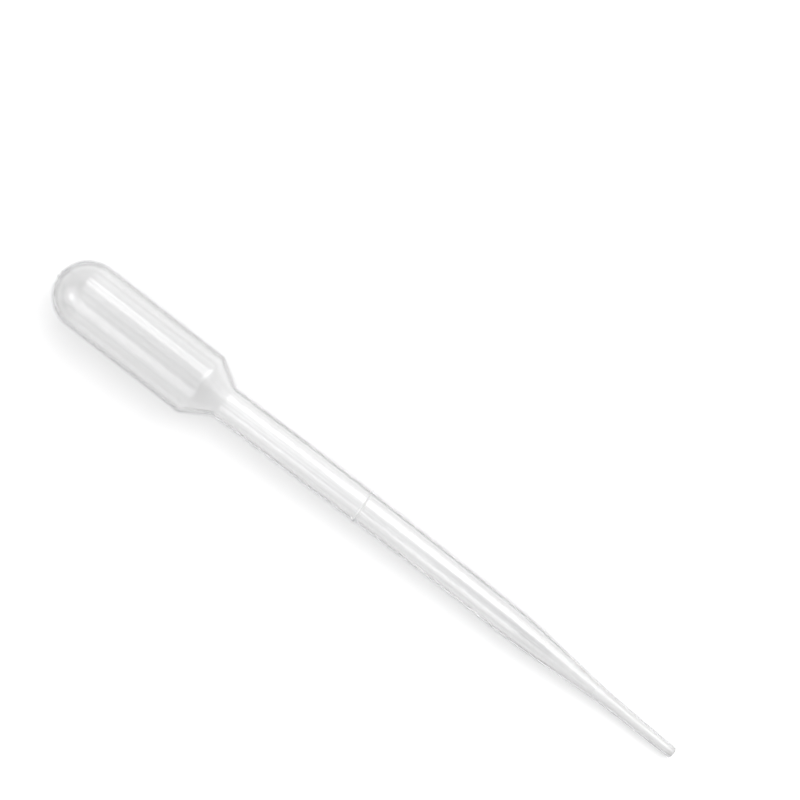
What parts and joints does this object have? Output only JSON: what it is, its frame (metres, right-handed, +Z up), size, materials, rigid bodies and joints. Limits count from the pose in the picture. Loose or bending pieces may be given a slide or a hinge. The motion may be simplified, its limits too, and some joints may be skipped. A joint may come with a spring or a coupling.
{
  "type": "plastic dropper pipette",
  "caption": "Blow-moulded squeeze pipette: a round-ended bulb, a straight hollow stem with a moulded ring, and a drawn-out open tip, lying as it rests.",
  "frame": {"origin": "under the middle of the part's box, on the surface it lies on", "axes": "+Z up; +X from the bulb to the tip, as seen from above; the pipette's own axis lies in the X-Z plane and dips 2.88 degrees towards the tip, because the part rests on its shoulder and on the end of its stem, with the tip just clear"},
  "size_m": [0.155, 0.0148, 0.0163],
  "materials": {
    "polyethylene": "clear, slightly hazy low density polyethylene, as blown, with a soft gloss"
  },
  "bodies": {
    "root": {"dropper_pipette": "polyethylene"}
  },
  "joints": []
}
